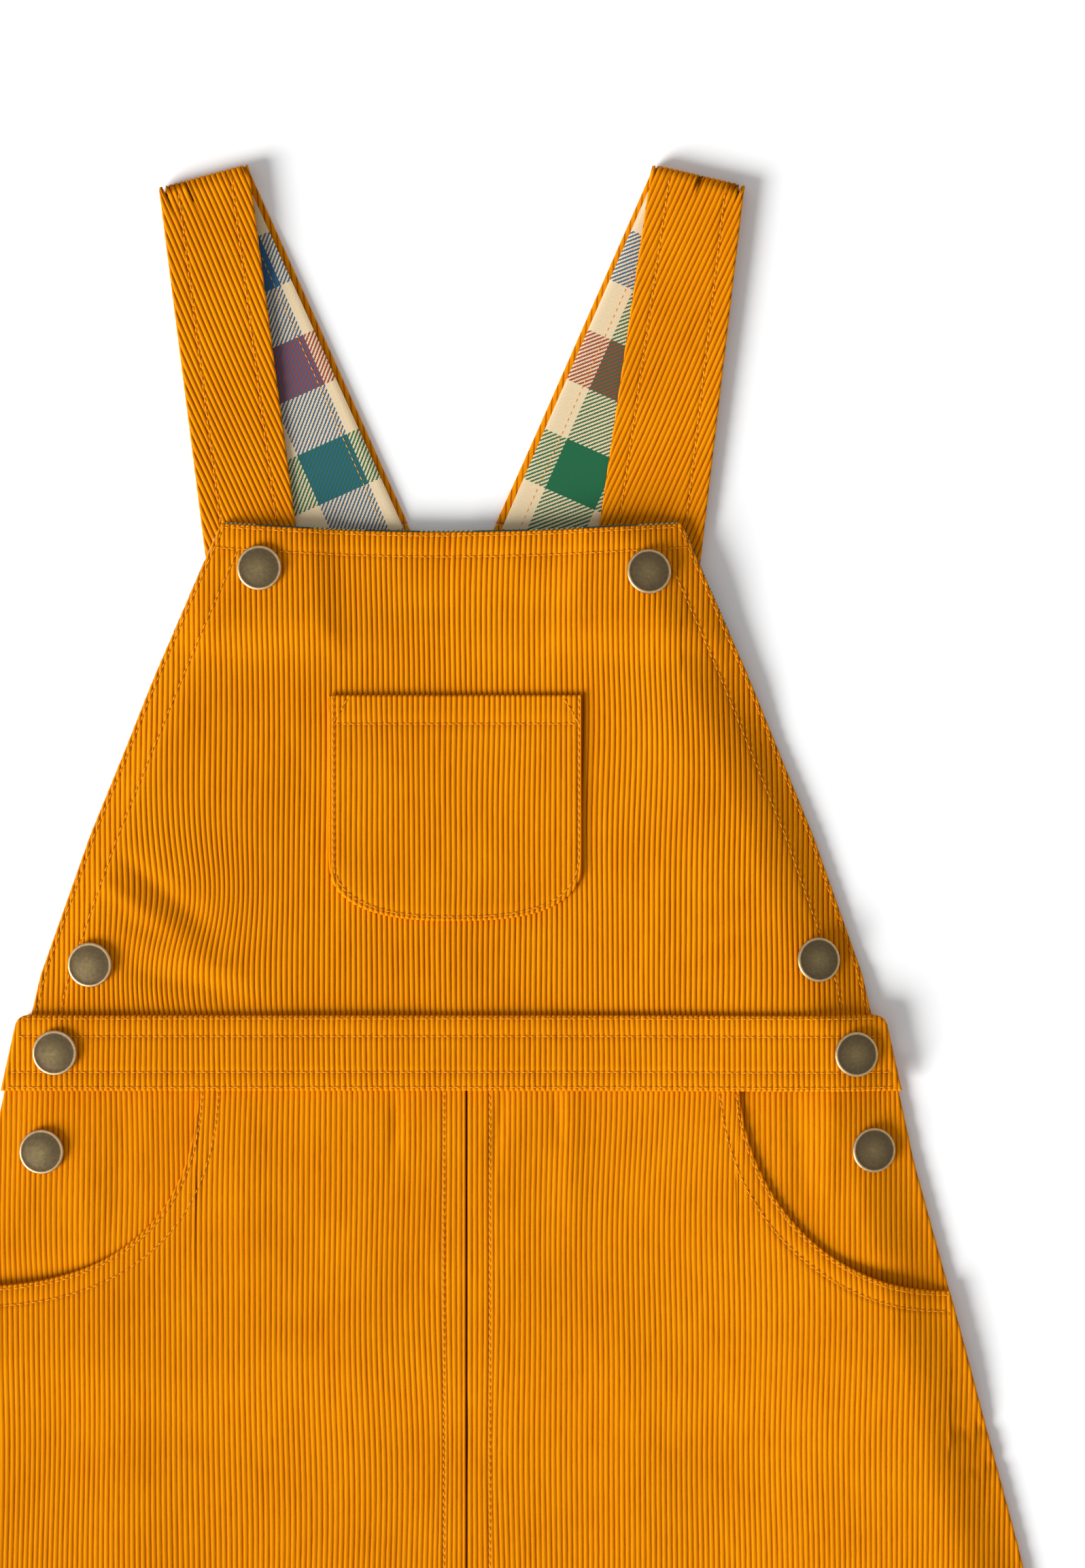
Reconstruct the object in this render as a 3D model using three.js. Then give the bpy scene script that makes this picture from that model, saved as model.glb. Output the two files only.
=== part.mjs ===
import * as THREE from 'three';

// A pinafore dress of corduroy, laid on its back with the straps folded over to the front.
// Millimetres. x runs across the dress, y from the hem to the shoulders, z up from the surface.
// "left" and "right" are the sides as seen from above.

// Driving dimensions
const LENGTH = 600; // centre of the hem to the shoulder folds
const CORDUROY = 1.6;
const FLANNEL = 1;
const BAND = 2.2; // the front waistband, folded double
const SEAM = 0.3; // between neighbouring pieces
const LAYER = CORDUROY + SEAM; // what one corduroy wall adds to the stack
const LINING_LAYER = FLANNEL + SEAM;

const BAND_BOTTOM = 285.5;
const BAND_TOP = 311.3;
const BAND_HALF_BOTTOM = 152.7;
const BAND_HALF_TOP = 147;
const BAND_CORNER = 3.5;
const TUCK = 7; // how far the bib and the skirt reach in under the waistband
const BIB_TOP = 477.8;
const BIB_TOP_HALF = 78;
const BIB_SAG = 3; // of the bib's top edge between its corners
const HEM_HALF = 224;
const HEM_RISE = 5; // of the hem at its corners
const HEM_REACH = 120; // above the hem, where that curve has faded out
const CENTRE_SEAM = 5.1; // x of the skirt's front seam

const SKIRT_SIDE = [
  { y: 0, half: HEM_HALF },
  { y: 131, half: 192.5 },
  { y: 205, half: 172.6 },
  { y: 261, half: 157.2 },
  { y: BAND_BOTTOM + TUCK, half: 150.4 },
];

const BIB_SIDE = [
  { y: BAND_TOP - TUCK, half: 144 },
  { y: 325, half: 139.5 },
  { y: 372, half: 122.9 },
  { y: 427, half: 100.4 },
  { y: 464, half: 84 },
  { y: BIB_TOP, half: BIB_TOP_HALF },
];

const BACK_BIB_SIDE = [
  { y: BAND_TOP + SEAM, half: 140.5 },
  { y: 372, half: 115 },
  { y: 432, half: 90 },
];

// The hip pocket openings: each is a quarter of a superellipse from the waistband to the side seam.
const SCOOPS = {
  left: { inner: 86, side: 166.5, bottom: 219.3, power: 2.5 },
  right: { inner: 97.5, side: 168.9, bottom: 217.6, power: 2.05 },
};
const FACING_BOTTOM = 198;
const FACING_LAP = 14; // how far a hip facing reaches in under the skirt's front
const FACING_INSET = 0.5; // from the side seam, below the opening
const FACING_SETTLE = { from: -4, to: 14 }; // above an opening's bottom, where it leaves the back

const POCKET = { centre: 1.5, half: 43, top: 419.6, corner: 364, bottom: 343, power: 2.6 };

// Where the strap edges run, as distances out from the centre line. Each strap comes up from
// the back, folds over at the shoulder and ends behind the bib.
const STRAPS = {
  left: {
    foldInner: { out: 69.2, y: 600 },
    foldOuter: { out: 99.7, y: 592 },
    frontInner: { out: 48.7, y: 446 },
    frontOuter: { out: 81, y: 446 },
  },
  right: {
    foldInner: { out: 68.3, y: 600 },
    foldOuter: { out: 99.9, y: 592.7 },
    frontInner: { out: 45.6, y: 446 },
    frontOuter: { out: 82.4, y: 446 },
  },
};
// The back of each strap widens downwards to its seam with the back of the bib.
const STRAP_BACK = [
  { inner: SEAM / 2, innerY: 432, outer: 90, outerY: 432 },
  { inner: 0.8, innerY: 446, outer: 86.5, outerY: 446 },
  { inner: 14.1, innerY: 475.9, outer: 80, outerY: 478 },
  { inner: 29.3, innerY: 510, outer: 83, outerY: 512 },
];
const STRAP_ROWS = 4; // from the last row of that table to the shoulder, and again down the front
const STRAP_COLUMNS = 4;
const FOLD_STEPS = 6;
const FOLD_RADIUS = 3.3; // outside of the shoulder fold
const LINING_INSET = 1.8; // the corduroy shows past the lining by this much

// Height of the front over the back: a soft roll beside each side seam.
const ROLL = {
  left: { height: 1.3, reach: 16 },
  right: { height: 4.2, reach: 24 },
};
const ROLL_FADE = 110; // further in from the side, where the roll has settled
const ROLL_REST = 0.8; // its height there
const FRONT_HEIGHT = 2 * LAYER; // under the front above the hip facings' lower edges
const DROP_LENGTH = 34; // over which the skirt settles by a layer, below the facings
const TOP_LINING_BOTTOM = 441; // lower edge of the bib lining, behind the bib
const BIB_LINING_INSET = 0.4; // from the bib's slanted sides
const TOP_RISE = 2 * LINING_LAYER - LAYER; // of the bib where both linings lie under it
const BIB_EDGE = { reach: 13, low: 331, high: 400 }; // where the bib's sides lie down on the back
const STRAP_EASE = { flat: 2, fade: 13 }; // past a strap end's edges, where the bib comes down

const SNAP_RADIUS = 7.6;
const SNAPS = [
  { name: 'snap_bib_left', panel: 'bib', x: -64.8, y: 462.4 },
  { name: 'snap_bib_right', panel: 'bib', x: 66.7, y: 461 },
  { name: 'snap_side_left', panel: 'bib', x: -122.3, y: 328.2 },
  { name: 'snap_side_right', panel: 'bib', x: 124.1, y: 329.9 },
  { name: 'snap_waist_left', panel: 'band', x: -133.9, y: 298.6 },
  { name: 'snap_waist_right', panel: 'band', x: 136.7, y: 298.1 },
  { name: 'snap_hip_left', panel: 'facing', x: -138.9, y: 264.8 },
  { name: 'snap_hip_right', panel: 'facing', x: 143, y: 265.4 },
];

const corduroy = new THREE.MeshStandardMaterial({ color: 0xe38a08, roughness: 0.95, metalness: 0 });
const flannel = new THREE.MeshStandardMaterial({ color: 0xb9a486, roughness: 0.9, metalness: 0 });
const brass = new THREE.MeshStandardMaterial({ color: 0x6e5a38, roughness: 0.4, metalness: 1 });

const lerp = THREE.MathUtils.lerp;

/** 0 at or below start, 1 at or above end, smooth between. */
function ease(start, end, value) {
  return THREE.MathUtils.smoothstep(value, start, end);
}

/** Half width at height y, from a table of rows with y going up. */
function halfAt(table, y) {
  const last = table.length - 2;
  const found = table.findIndex((row) => row.y > y) - 1;
  const index = found < -1 ? last : Math.min(Math.max(found, 0), last);
  const low = table[index];
  const high = table[index + 1];
  return lerp(low.half, high.half, (y - low.y) / (high.y - low.y));
}

/** Half width of the waistband, with its rounded upper corners. */
function bandHalf(y) {
  const side = lerp(BAND_HALF_BOTTOM, BAND_HALF_TOP, (y - BAND_BOTTOM) / (BAND_TOP - BAND_BOTTOM));
  const over = Math.max(0, y - (BAND_TOP - BAND_CORNER));
  return side - (BAND_CORNER - Math.sqrt(BAND_CORNER ** 2 - over ** 2));
}

/** Half width of the whole dress at height y. */
function dressHalf(y) {
  if (y > BAND_TOP) return halfAt(BIB_SIDE, y);
  return y < BAND_BOTTOM ? halfAt(SKIRT_SIDE, y) : bandHalf(y);
}

/** The hem curves down towards the middle. */
function hemmed(x, y) {
  const rise = HEM_RISE * (x / HEM_HALF) ** 2;
  return { x, y: y + rise * Math.max(0, 1 - y / HEM_REACH) };
}

/** Equal steps from 0 to 1. */
function steps(count) {
  return Array.from({ length: count + 1 }, (_, i) => i / count);
}

/** Steps from 0 to 1 that close up towards 1. */
function stepsTo(count) {
  return steps(count).map((t) => Math.sin((t * Math.PI) / 2));
}

/** Steps from 0 to 1 that close up somewhat towards both ends. */
function stepsOut(count) {
  return steps(count).map((t) => lerp(t, (1 - Math.cos(t * Math.PI)) / 2, 0.6));
}

/** How far a point lies inside a strap's front part, from its nearer edge; negative outside it. */
function insideStrap(strap, sign, x, y) {
  const down = (strap.foldInner.y - y) / (strap.foldInner.y - strap.frontInner.y);
  const inner = lerp(strap.foldInner.out, strap.frontInner.out, down);
  const outer = lerp(strap.foldOuter.out, strap.frontOuter.out, down);
  return Math.min(sign * x - inner, outer - sign * x);
}

/** How much the bib lifts over the strap ends, from 0 to 1. */
function overStrap(x, y) {
  const sign = x < 0 ? -1 : 1;
  const strap = x < 0 ? STRAPS.left : STRAPS.right;
  const beside = -insideStrap(strap, sign, x, y);
  const below = strap.frontInner.y - y;
  const away = Math.max(beside, below) - STRAP_EASE.flat;
  return 1 - ease(0, STRAP_EASE.fade, away);
}

/** Underside of the front, over the back. */
function frontHeight(x, y) {
  const inset = Math.max(0, dressHalf(y) - Math.abs(x));
  const roll = x < 0 ? ROLL.left : ROLL.right;
  const settled = lerp(roll.height, ROLL_REST, ease(roll.reach, ROLL_FADE, inset));
  const drop = LAYER * (1 - ease(FACING_BOTTOM - DROP_LENGTH, FACING_BOTTOM - 2, y));
  return FRONT_HEIGHT - drop + settled * ease(0, roll.reach, inset);
}

/** Underside of the bib, which also lies on two linings and the strap ends. */
function bibHeight(x, y) {
  const lined = ease(TOP_LINING_BOTTOM - 16, TOP_LINING_BOTTOM - 2, y);
  const edge = 1 - ease(0, BIB_EDGE.reach, dressHalf(y) - Math.abs(x));
  const free = ease(BAND_TOP, BIB_EDGE.low, y) * (1 - ease(BIB_EDGE.high, TOP_LINING_BOTTOM - 16, y));
  return frontHeight(x, y) + TOP_RISE * lined + LAYER * (overStrap(x, y) - edge * free);
}

/** Underside of a hip facing, which lies down on the back below the pocket opening. */
function facingHeight(x, y) {
  const { bottom } = x < 0 ? SCOOPS.left : SCOOPS.right;
  const free = ease(bottom + FACING_SETTLE.from, bottom + FACING_SETTLE.to, y);
  return lerp(LAYER, frontHeight(x, y) - LAYER, free);
}

const HEIGHTS = {
  bib: bibHeight,
  bibLining: (x, y) => bibHeight(x, y) - LINING_LAYER,
  pocket: (x, y) => bibHeight(x, y) + LAYER,
  skirt: frontHeight,
  facing: facingHeight,
  band: (x, y) => frontHeight(x, y) + LAYER,
  lining: () => LAYER,
  back: () => 0,
};

/** The closed wall between two grids of points. */
function wall(lower, upper) {
  const rows = lower.length;
  const columns = lower[0].length;
  const points = [...lower.flat(), ...upper.flat()];
  const at = (side, row, column) => (side * rows + row) * columns + column;
  const faces = [];
  const quad = (a, b, c, d) => faces.push(a, b, c, a, c, d);
  for (let r = 0; r + 1 < rows; r += 1) {
    for (let c = 0; c + 1 < columns; c += 1) {
      quad(at(1, r, c), at(1, r, c + 1), at(1, r + 1, c + 1), at(1, r + 1, c));
      quad(at(0, r, c), at(0, r + 1, c), at(0, r + 1, c + 1), at(0, r, c + 1));
    }
  }
  const end = { row: rows - 1, column: columns - 1 };
  for (let c = 0; c < end.column; c += 1) {
    quad(at(0, 0, c), at(0, 0, c + 1), at(1, 0, c + 1), at(1, 0, c));
    quad(at(0, end.row, c + 1), at(0, end.row, c), at(1, end.row, c), at(1, end.row, c + 1));
  }
  for (let r = 0; r < end.row; r += 1) {
    quad(at(0, r + 1, 0), at(0, r, 0), at(1, r, 0), at(1, r + 1, 0));
    quad(at(0, r, end.column), at(0, r + 1, end.column), at(1, r + 1, end.column), at(1, r, end.column));
  }
  const geometry = new THREE.BufferGeometry();
  const flat = points.flatMap((point) => [point.x, point.y, point.z]);
  geometry.setAttribute('position', new THREE.Float32BufferAttribute(flat, 3));
  geometry.setIndex(signedVolume(points, faces) < 0 ? faces.reverse() : faces);
  return geometry;
}

/** Six times the volume inside the faces, negative where they point inwards. */
function signedVolume(points, faces) {
  let sum = 0;
  for (let i = 0; i < faces.length; i += 3) {
    const [a, b, c] = [points[faces[i]], points[faces[i + 1]], points[faces[i + 2]]];
    sum += a.dot(new THREE.Vector3().crossVectors(b, c));
  }
  return sum;
}

/** A panel of cloth: plan(u, v) gives its outline in x and y, and height its underside. */
function panel(name, material, { plan, across, along, height, thickness }) {
  const grid = (lift) =>
    along.map((v) =>
      across.map((u) => {
        const { x, y } = plan(u, v);
        return new THREE.Vector3(x, y, height(x, y) + lift);
      }),
    );
  return named(name, wall(grid(0), grid(thickness)), material);
}

function named(name, geometry, material) {
  const mesh = new THREE.Mesh(geometry, material);
  mesh.name = name;
  return mesh;
}

/** A plan whose rows lie between heights low and high and reach half(y) to each side. */
function symmetric(low, high, half) {
  return (u, v) => {
    const y = lerp(low, high, v);
    return { x: (2 * u - 1) * half(y), y };
  };
}

/** The bib's plan at height y, with the sag of its top edge. */
function bibPoint(u, y, inset) {
  const x = (2 * u - 1) * (halfAt(BIB_SIDE, y) - inset);
  const sag = BIB_SAG * Math.max(0, 1 - (x / BIB_TOP_HALF) ** 2);
  return { x, y: y - sag * ease(BIB_TOP - 40, BIB_TOP, y) };
}

/** The bib and the lining behind its top share their rows, so that one follows the other. */
function makeFrontBib() {
  const low = BAND_TOP - TUCK;
  const linedRows = steps(5).map((t) => lerp(TOP_LINING_BOTTOM, BIB_TOP, t));
  const plainRows = steps(13).map((t) => lerp(low, TOP_LINING_BOTTOM, t)).slice(0, -1);
  const onRows = (rows, inset) => (u, v) => bibPoint(u, rows[Math.round(v * (rows.length - 1))], inset);
  const rows = [...plainRows, ...linedRows];
  return [
    panel('front_bib', corduroy, {
      plan: onRows(rows, 0),
      across: stepsOut(26),
      along: steps(rows.length - 1),
      height: HEIGHTS.bib,
      thickness: CORDUROY,
    }),
    panel('front_bib_lining', flannel, {
      plan: onRows(linedRows, BIB_LINING_INSET),
      across: stepsOut(26),
      along: steps(linedRows.length - 1),
      height: HEIGHTS.bibLining,
      thickness: FLANNEL,
    }),
  ];
}

function makeBibPocket() {
  const lowerEdge = (x) => {
    const share = Math.abs(x - POCKET.centre) / POCKET.half;
    const drop = (1 - share ** POCKET.power) ** (1 / POCKET.power);
    return POCKET.corner - (POCKET.corner - POCKET.bottom) * drop;
  };
  const plan = (u, v) => {
    const x = POCKET.centre + (2 * u - 1) * POCKET.half;
    return { x, y: lerp(lowerEdge(x), POCKET.top, v) };
  };
  return panel('bib_pocket', corduroy, {
    plan,
    across: steps(20).map((t) => (1 - Math.cos(t * Math.PI)) / 2),
    along: steps(6),
    height: HEIGHTS.pocket,
    thickness: CORDUROY,
  });
}

function makeWaistbands() {
  const rounded = [0, 0.2, 0.4, 0.62, 1 - BAND_CORNER / (BAND_TOP - BAND_BOTTOM), 0.93, 0.975, 1];
  return [
    panel('front_waistband', corduroy, {
      plan: symmetric(BAND_BOTTOM, BAND_TOP, bandHalf),
      across: stepsOut(32),
      along: rounded,
      height: HEIGHTS.band,
      thickness: BAND,
    }),
    panel('back_waistband', corduroy, {
      plan: symmetric(BAND_BOTTOM, BAND_TOP, (y) => bandHalf(y) - 1),
      across: [0, 1],
      along: rounded,
      height: HEIGHTS.back,
      thickness: CORDUROY,
    }),
  ];
}

/** A point on a hip pocket's opening: turn 0 at its top by the waistband, 1 at the side seam. */
function scoopPoint(scoop, turn) {
  const angle = (turn * Math.PI) / 2;
  const top = BAND_BOTTOM + TUCK;
  const exponent = 2 / scoop.power;
  return {
    x: scoop.side - (scoop.side - scoop.inner) * Math.cos(angle) ** exponent,
    y: top - (top - scoop.bottom) * Math.sin(angle) ** exponent,
  };
}

/** One half of the skirt's front, from the centre seam out to the side seam and pocket opening. */
function makeFrontSkirt(side) {
  const sign = side === 'left' ? -1 : 1;
  const scoop = SCOOPS[side];
  const top = BAND_BOTTOM + TUCK;
  const seamX = CENTRE_SEAM + (sign * SEAM) / 2;
  const sideRows = steps(7).map((t) => {
    const y = t * scoop.bottom;
    return { seamY: y, outX: halfAt(SKIRT_SIDE, y), outY: y };
  });
  const scoopRows = steps(10).slice(1).map((t) => {
    const point = scoopPoint(scoop, 1 - t);
    return { seamY: lerp(scoop.bottom, top, t), outX: point.x, outY: point.y };
  });
  const rows = [...sideRows, ...scoopRows];
  const plan = (u, v) => {
    const row = rows[Math.round(v * (rows.length - 1))];
    return hemmed(lerp(seamX, sign * row.outX, u), lerp(row.seamY, row.outY, u));
  };
  return panel(`front_skirt_${side}`, corduroy, {
    plan,
    across: stepsTo(14),
    along: steps(rows.length - 1),
    height: HEIGHTS.skirt,
    thickness: CORDUROY,
  });
}

/** The panel that shows inside a hip pocket's opening and carries the lower side snap. */
function makeHipFacing(side) {
  const sign = side === 'left' ? -1 : 1;
  const scoop = SCOOPS[side];
  const plan = (u, v) => {
    const y = lerp(FACING_BOTTOM, BAND_BOTTOM + TUCK, v);
    const inset = FACING_INSET * (1 - ease(scoop.bottom - 6, scoop.bottom, y));
    const outer = halfAt(SKIRT_SIDE, y) - inset;
    return { x: sign * lerp(scoop.inner - FACING_LAP, outer, u), y };
  };
  return panel(`hip_facing_${side}`, corduroy, {
    plan,
    across: stepsTo(13),
    along: steps(11),
    height: HEIGHTS.facing,
    thickness: CORDUROY,
  });
}

/** The plan of a strap's edges, row by row, up the back and down the front. */
function strapEdges(side) {
  const sign = side === 'left' ? -1 : 1;
  const strap = STRAPS[side];
  const point = (out, y) => new THREE.Vector2(sign * out, y);
  const corner = { inner: point(strap.foldInner.out, strap.foldInner.y) };
  corner.outer = point(strap.foldOuter.out, strap.foldOuter.y);
  const along = new THREE.Vector2().subVectors(corner.inner, corner.outer).normalize();
  const over = new THREE.Vector2(along.y, -along.x);
  if (over.y < 0) over.negate();
  const seat = (from) => from.clone().addScaledVector(over, -FOLD_RADIUS);
  const fold = { inner: seat(corner.inner), outer: seat(corner.outer) };
  const table = STRAP_BACK.map((row) => ({
    inner: point(row.inner, row.innerY),
    outer: point(row.outer, row.outerY),
  }));
  const end = { inner: point(strap.frontInner.out, strap.frontInner.y) };
  end.outer = point(strap.frontOuter.out, strap.frontOuter.y);
  const between = (a, b, t) => ({
    inner: a.inner.clone().lerp(b.inner, t),
    outer: a.outer.clone().lerp(b.outer, t),
  });
  const last = table[table.length - 1];
  const up = steps(STRAP_ROWS).slice(1).map((t) => between(last, fold, t));
  const down = steps(STRAP_ROWS).map((t) => between(fold, end, t));
  return { back: [...table, ...up], front: down, fold, over };
}

/** A row of points across a strap, from its inner to its outer edge. */
function strapRow(edges, height, shift = new THREE.Vector2()) {
  return steps(STRAP_COLUMNS).map((t) => {
    const place = edges.inner.clone().lerp(edges.outer, t).add(shift);
    return new THREE.Vector3(place.x, place.y, height);
  });
}

/** A strap: the back lies face down, turns over at the shoulder and comes down face up. */
function makeStrap(side) {
  const { back, front, fold, over } = strapEdges(side);
  const face = back.map((edges) => strapRow(edges, 0));
  const reverse = back.map((edges) => strapRow(edges, CORDUROY));
  for (let i = 1; i < FOLD_STEPS; i += 1) {
    const angle = (i / FOLD_STEPS) * Math.PI;
    const arc = (radius) =>
      strapRow(fold, FOLD_RADIUS - radius * Math.cos(angle), over.clone().multiplyScalar(radius * Math.sin(angle)));
    face.push(arc(FOLD_RADIUS));
    reverse.push(arc(FOLD_RADIUS - CORDUROY));
  }
  const low = LAYER + LINING_LAYER;
  const high = 2 * FOLD_RADIUS - CORDUROY;
  front.forEach((edges, i) => {
    const height = lerp(high, low, ease(0, 0.8, i / STRAP_ROWS));
    face.push(strapRow(edges, height + CORDUROY));
    reverse.push(strapRow(edges, height));
  });
  return named(`strap_${side}`, wall(face, reverse), corduroy);
}

/** The flannel that faces the inside of a strap's back. */
function makeStrapLining(side) {
  const rows = strapEdges(side).back;
  const inward = (from, to) => from.clone().add(to.clone().sub(from).setLength(LINING_INSET));
  const inset = rows.map(({ inner, outer }) => ({
    inner: inward(inner, outer),
    outer: inward(outer, inner),
  }));
  const grid = (height) => inset.map((edges) => strapRow(edges, height));
  return named(`strap_lining_${side}`, wall(grid(LAYER), grid(LAYER + FLANNEL)), flannel);
}

function makeBack() {
  const skirtTop = BAND_BOTTOM - SEAM;
  const bibBottom = BAND_TOP + SEAM;
  const bibTop = STRAP_BACK[0].innerY - SEAM;
  const straight = symmetric(0, skirtTop, (y) => halfAt(SKIRT_SIDE, y) - FACING_INSET);
  const flat = { height: HEIGHTS.back, thickness: CORDUROY };
  return [
    panel('back_skirt', corduroy, {
      plan: (u, v) => {
        const { x, y } = straight(u, v);
        return hemmed(x, y);
      },
      across: steps(8),
      along: steps(8),
      ...flat,
    }),
    panel('back_bib', corduroy, {
      plan: symmetric(bibBottom, bibTop, (y) => halfAt(BACK_BIB_SIDE, y)),
      across: [0, 1],
      along: steps(6),
      ...flat,
    }),
  ];
}

/** A press-snap cap: a shallow dome with a rolled rim. */
function snapGeometry() {
  const profile = [
    [0, 0],
    [SNAP_RADIUS - 0.7, 0],
    [SNAP_RADIUS, 0.6],
    [SNAP_RADIUS - 0.1, 1.1],
    [SNAP_RADIUS - 0.7, 1.4],
    [0, 1.8],
  ];
  const geometry = new THREE.LatheGeometry(profile.map(([r, h]) => new THREE.Vector2(r, h)), 24);
  return geometry.rotateX(Math.PI / 2);
}

/** Sets a snap on its panel, tilted as the cloth there, just clear of it all round. */
function makeSnap({ name, panel: key, x, y }) {
  const thickness = key === 'band' ? BAND : CORDUROY;
  const top = (px, py) => HEIGHTS[key](px, py) + thickness;
  const reach = SNAP_RADIUS - 0.7;
  const slopeX = (top(x + reach, y) - top(x - reach, y)) / (2 * reach);
  const slopeY = (top(x, y + reach) - top(x, y - reach)) / (2 * reach);
  const plane = (dx, dy) => slopeX * dx + slopeY * dy;
  let seat = top(x, y);
  for (const radius of [reach / 2, reach]) {
    for (const turn of steps(16)) {
      const dx = radius * Math.cos(turn * 2 * Math.PI);
      const dy = radius * Math.sin(turn * 2 * Math.PI);
      seat = Math.max(seat, top(x + dx, y + dy) - plane(dx, dy));
    }
  }
  const mesh = named(name, snapGeometry(), brass);
  const normal = new THREE.Vector3(-slopeX, -slopeY, 1).normalize();
  mesh.quaternion.setFromUnitVectors(new THREE.Vector3(0, 0, 1), normal);
  mesh.position.set(x, y, seat + SEAM);
  return mesh;
}

const group = new THREE.Group();
group.add(...makeBack(), ...makeWaistbands());
for (const side of ['left', 'right']) {
  group.add(makeStrap(side), makeStrapLining(side));
  group.add(makeHipFacing(side), makeFrontSkirt(side));
}
group.add(...makeFrontBib(), makeBibPocket(), ...SNAPS.map(makeSnap));
// The origin lies under the middle of the dress, on the surface.
group.position.y = -LENGTH / 2;

export default group;
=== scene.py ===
import math

import bpy
import numpy as np
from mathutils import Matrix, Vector


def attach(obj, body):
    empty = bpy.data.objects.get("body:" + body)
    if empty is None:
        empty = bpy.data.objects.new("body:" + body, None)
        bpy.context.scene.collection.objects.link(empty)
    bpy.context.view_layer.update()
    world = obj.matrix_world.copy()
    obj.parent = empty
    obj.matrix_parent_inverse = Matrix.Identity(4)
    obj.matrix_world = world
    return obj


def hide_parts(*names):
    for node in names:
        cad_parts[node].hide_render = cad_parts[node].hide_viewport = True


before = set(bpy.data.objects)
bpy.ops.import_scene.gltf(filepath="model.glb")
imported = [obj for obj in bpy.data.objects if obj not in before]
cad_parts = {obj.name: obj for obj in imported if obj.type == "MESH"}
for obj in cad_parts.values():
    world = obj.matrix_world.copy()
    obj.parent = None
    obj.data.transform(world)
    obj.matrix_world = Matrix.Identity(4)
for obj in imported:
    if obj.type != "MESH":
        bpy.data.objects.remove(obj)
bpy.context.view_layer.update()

# Sizes are in millimetres, with y counted from the hem. Meshes are moved down by half the length
# and scaled to metres when they are made, which puts them in the row frame.
MM = 0.001
LENGTH = 600.0
CORDUROY = 1.6
FLANNEL = 1.0
BAND = 2.2
SEAM = 0.3
LAYER = CORDUROY + SEAM
LINING_LAYER = FLANNEL + SEAM

BAND_BOTTOM, BAND_TOP = 285.5, 311.3
BAND_HALF_BOTTOM, BAND_HALF_TOP, BAND_CORNER = 152.7, 147.0, 3.5
TUCK = 7.0
BIB_TOP, BIB_TOP_HALF, BIB_SAG = 477.8, 78.0, 3.0
HEM_HALF, HEM_RISE = 224.0, 5.0
CENTRE_SEAM = 5.1
SKIRT_TOP = BAND_BOTTOM + TUCK

SKIRT_SIDE = {"y": (0, 131, 205, 261, SKIRT_TOP), "half": (HEM_HALF, 192.5, 172.6, 157.2, 150.4)}
BIB_SIDE = {
    "y": (BAND_TOP - TUCK, 325, 372, 427, 464, BIB_TOP),
    "half": (144, 139.5, 122.9, 100.4, 84, BIB_TOP_HALF),
}
BACK_BIB_SIDE = {"y": (BAND_TOP + SEAM, 372, 432), "half": (140.5, 115, 90)}
SCOOPS = {
    -1: {"inner": 86.0, "side": 166.5, "bottom": 219.3, "power": 2.5},
    1: {"inner": 97.5, "side": 168.9, "bottom": 217.6, "power": 2.05},
}
FACING_BOTTOM, FACING_LAP = 198.0, 14.0
POCKET = {"centre": 1.5, "half": 43.0, "top": 419.6, "corner": 364.0, "bottom": 343.0, "power": 2.6}
STRAPS = {
    -1: {"fold": ((69.2, 600.0), (99.7, 592.0)), "end": ((48.7, 446.0), (81.0, 446.0))},
    1: {"fold": ((68.3, 600.0), (99.9, 592.7)), "end": ((45.6, 446.0), (82.4, 446.0))},
}
STRAP_BACK_INNER = ((0.15, 432.0), (0.8, 446.0), (15.0, 478.0), (29.3, 510.0))
STRAP_BACK_OUTER = ((90.0, 432.0), (86.5, 446.0), (80.0, 478.0), (83.0, 512.0))
FOLD_RADIUS = 3.3
LINING_INSET = 1.8
ROLL = {-1: {"height": 1.3, "reach": 16.0}, 1: {"height": 4.2, "reach": 24.0}}
ROLL_FADE, ROLL_REST = 110.0, 0.8
TOP_LINING_BOTTOM = 441.0
TOP_RISE = 2 * LINING_LAYER - LAYER

# Corduroy
WALE = 1.778  # 14 and a bit to the inch
SAMPLES = 5  # points across one wale
RELIEF = 0.5  # from the ridge to the groove
PINCH_DEPTH, PINCH_WIDTH = 0.3, 0.6  # of the dip along a row of stitches
BACK_STEP = WALE / 4  # between columns on panels that lie face down
LINING_STEP = 1.5
STRAP_SEAM = 6.5  # from a strap's edge to its stitches
BIB_SIDE_SLANT = 1.09  # a bib side's length over its height
CAP_RADIUS, CAP_REACH = 7.6, 6.9
SIDES = {-1: "left", 1: "right"}


def ease(start, end, value):
    t = np.clip((np.asarray(value, float) - start) / (end - start), 0, 1)
    return t * t * (3 - 2 * t)


def mix(a, b, t):
    return a + (b - a) * t


def half_at(table, y):
    return np.interp(y, table["y"], table["half"])


def band_half(y):
    share = (np.asarray(y, float) - BAND_BOTTOM) / (BAND_TOP - BAND_BOTTOM)
    side = mix(BAND_HALF_BOTTOM, BAND_HALF_TOP, share)
    over = np.clip(y - (BAND_TOP - BAND_CORNER), 0, BAND_CORNER)
    return side - (BAND_CORNER - np.sqrt(BAND_CORNER**2 - over**2))


def dress_half(y):
    """Half the width of the whole front at a height."""
    upper = half_at(BIB_SIDE, y)
    lower = half_at(SKIRT_SIDE, y)
    middle = band_half(np.clip(y, BAND_BOTTOM, BAND_TOP))
    return np.where(y > BAND_TOP, upper, np.where(y < BAND_BOTTOM, lower, middle))


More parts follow.
